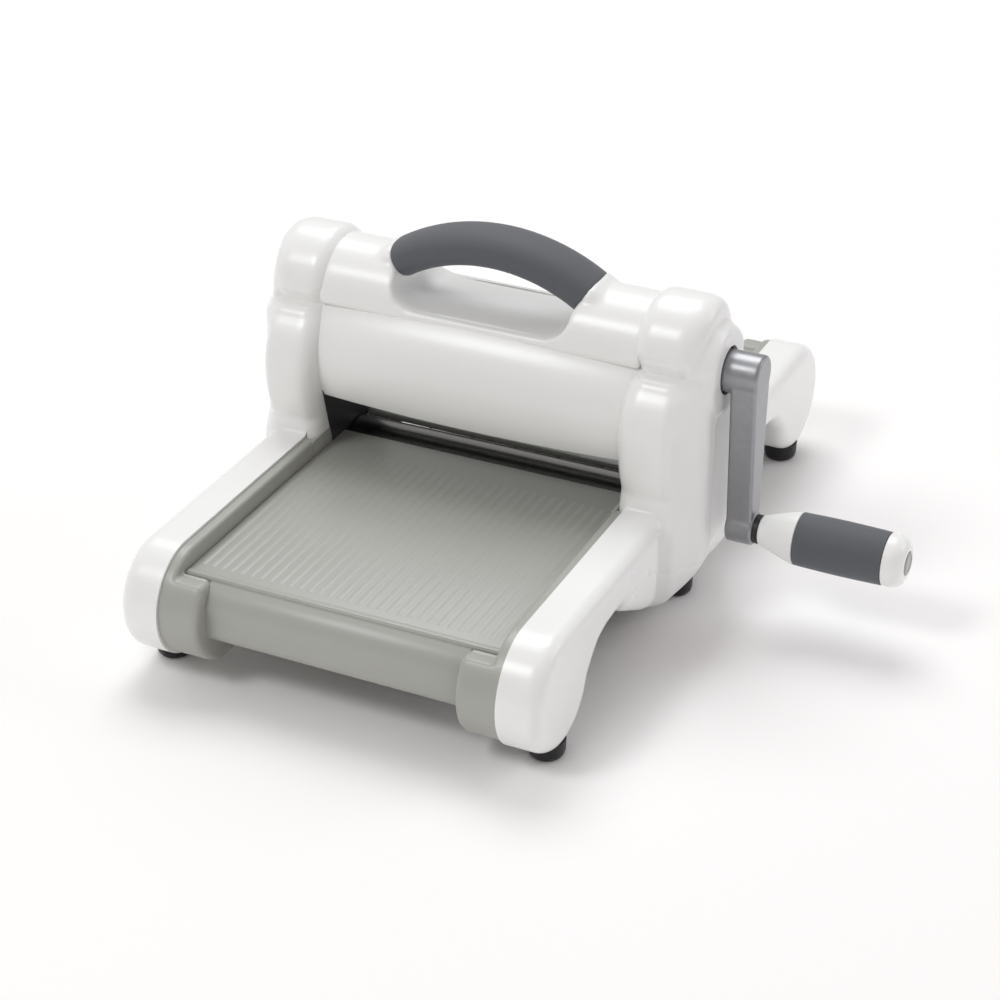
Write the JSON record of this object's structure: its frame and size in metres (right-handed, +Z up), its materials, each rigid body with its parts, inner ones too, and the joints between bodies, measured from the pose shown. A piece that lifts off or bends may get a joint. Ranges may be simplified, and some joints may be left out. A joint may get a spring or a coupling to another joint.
{
  "type": "die cutting machine",
  "caption": "Hand-cranked roller press for craft dies: crank, geared steel rollers, feed trays, carry handle.",
  "frame": {"origin": "on the table, under the middle of the tower, midway between the two side covers", "axes": "+X towards the crank side, +Y from the front tray to the rear tray, +Z up"},
  "size_m": [0.3276, 0.362, 0.1732],
  "materials": {
    "white_shell": "smooth moulded, satin gloss",
    "grey_tray": "moulded, fine ribs on the tray",
    "dark_grip": "soft overmould, matt",
    "black_rubber": "moulded, matt",
    "frame_steel": "black powder coat",
    "roller_steel": "ground and plated",
    "gear_steel": "sintered, oiled",
    "bush_bronze": "sintered bronze",
    "black_plastic": "moulded",
    "crank_metal": "die cast, satin silver",
    "fastener_steel": "zinc plated"
  },
  "bodies": {
    "frame": {"right_side_cover": "white_shell", "left_side_cover": "white_shell", "right_inner_cover": "white_shell", "left_inner_cover": "white_shell", "upper_housing": "white_shell", "front_panel": "white_shell", "rear_panel": "white_shell", "front_right_cheek": "grey_tray", "front_left_cheek": "grey_tray", "rear_right_cheek": "grey_tray", "rear_left_cheek": "grey_tray", "front_tray": "grey_tray", "rear_tray": "grey_tray", "front_nose_bar": "grey_tray", "rear_nose_bar": "grey_tray", "bottom_pan": "grey_tray", "handle_grip": "dark_grip", "front_right_foot": "black_rubber", "front_left_foot": "black_rubber", "middle_right_foot": "black_rubber", "middle_left_foot": "black_rubber", "rear_right_foot": "black_rubber", "rear_left_foot": "black_rubber", "right_side_plate": "frame_steel", "left_side_plate": "frame_steel", "upper_front_tie_rod": "frame_steel", "upper_rear_tie_rod": "frame_steel", "lower_front_tie_rod": "frame_steel", "lower_rear_tie_rod": "frame_steel", "upper_right_bush": "bush_bronze", "upper_left_bush": "bush_bronze", "lower_right_bush": "bush_bronze", "lower_left_bush": "bush_bronze", "crank_inner_bush": "bush_bronze", "crank_outer_bush": "black_plastic", "tie_rod_nuts": "fastener_steel", "side_cover_screws": "fastener_steel", "inner_cover_screws": "fastener_steel", "tray_screws": "fastener_steel"},
    "crank": {"crank_arm": "crank_metal", "crank_shaft": "roller_steel", "crank_pinion": "gear_steel", "pinion_key": "gear_steel", "crank_grub_screw": "fastener_steel", "crank_shaft_ring": "fastener_steel", "grip_spindle": "roller_steel", "grip_washer": "black_plastic"},
    "grip": {"grip_core": "white_shell", "grip_sleeve": "dark_grip", "grip_cap": "white_shell", "grip_plug": "grey_tray"},
    "upper_roller": {"upper_roller": "roller_steel", "upper_roller_gear": "gear_steel", "upper_gear_key": "gear_steel", "upper_roller_rings": "fastener_steel"},
    "lower_roller": {"lower_roller": "roller_steel", "lower_roller_gear": "gear_steel", "lower_gear_key": "gear_steel", "lower_roller_rings": "fastener_steel"}
  },
  "joints": [
    {"name": "upper_roller_spin", "type": "hinge", "parent": "frame", "child": "upper_roller", "pos_m": [0, 0, 0.0885], "axis": [1, 0, 0], "continuous": true},
    {"name": "lower_roller_spin", "type": "hinge", "parent": "frame", "child": "lower_roller", "pos_m": [0, 0, 0.0385], "axis": [1, 0, 0], "continuous": true},
    {"name": "crank_turn", "type": "hinge", "parent": "frame", "child": "crank", "pos_m": [0.128, 0, 0.1245], "axis": [1, 0, 0], "continuous": true},
    {"name": "grip_spin", "type": "hinge", "parent": "crank", "child": "grip", "pos_m": [0.17, 0, 0.0445], "axis": [1, 0, 0], "continuous": true}
  ],
  "couplings": [
    {"joint": "lower_roller_spin", "follows": "upper_roller_spin", "ratio": -1},
    {"joint": "crank_turn", "follows": "upper_roller_spin", "ratio": -2.2727}
  ]
}
